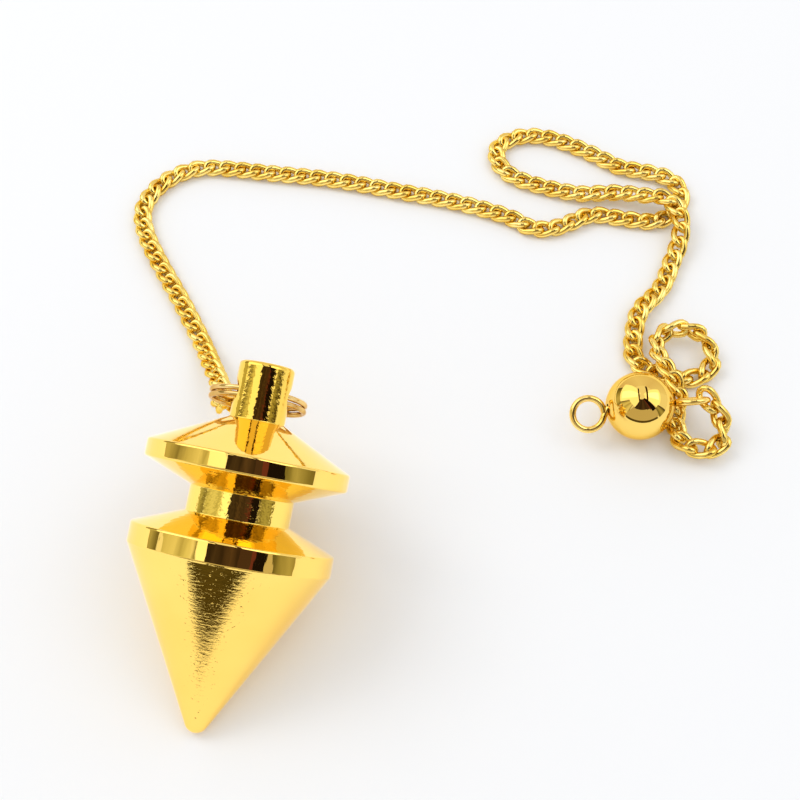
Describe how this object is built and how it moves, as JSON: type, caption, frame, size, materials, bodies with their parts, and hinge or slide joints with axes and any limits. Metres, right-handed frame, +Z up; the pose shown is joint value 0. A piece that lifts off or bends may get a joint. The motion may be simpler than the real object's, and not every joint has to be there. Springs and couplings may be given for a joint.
{
  "type": "pendulum pendant",
  "caption": "Turned cone pendulum with a disc collar and drilled stem, lying on its side, on a split ring and a fine curb chain that ends in a ball on an eye pin.",
  "frame": {"origin": "middle of the bounding box in plan, on the table that the pendant lies on", "axes": "+Z up from the table, +Y along the longest extent, from the bob's tip towards the far run of the chain, +X towards the ball's side"},
  "size_m": [0.0747, 0.0859, 0.024],
  "materials": {
    "bob_gold": "mirror-polished gold plate over turned brass",
    "ring_gold": "bright gold plate, slightly rosy",
    "chain_gold": "bright gold-plated links",
    "ball_gold": "mirror-polished gold plate",
    "pin_gold": "bright gold-plated wire"
  },
  "bodies": {
    "root": {"bob": "bob_gold", "split_ring": "ring_gold", "chain": "chain_gold", "chain_end": "chain_gold", "ball": "ball_gold", "eye_pin": "pin_gold"}
  },
  "joints": []
}
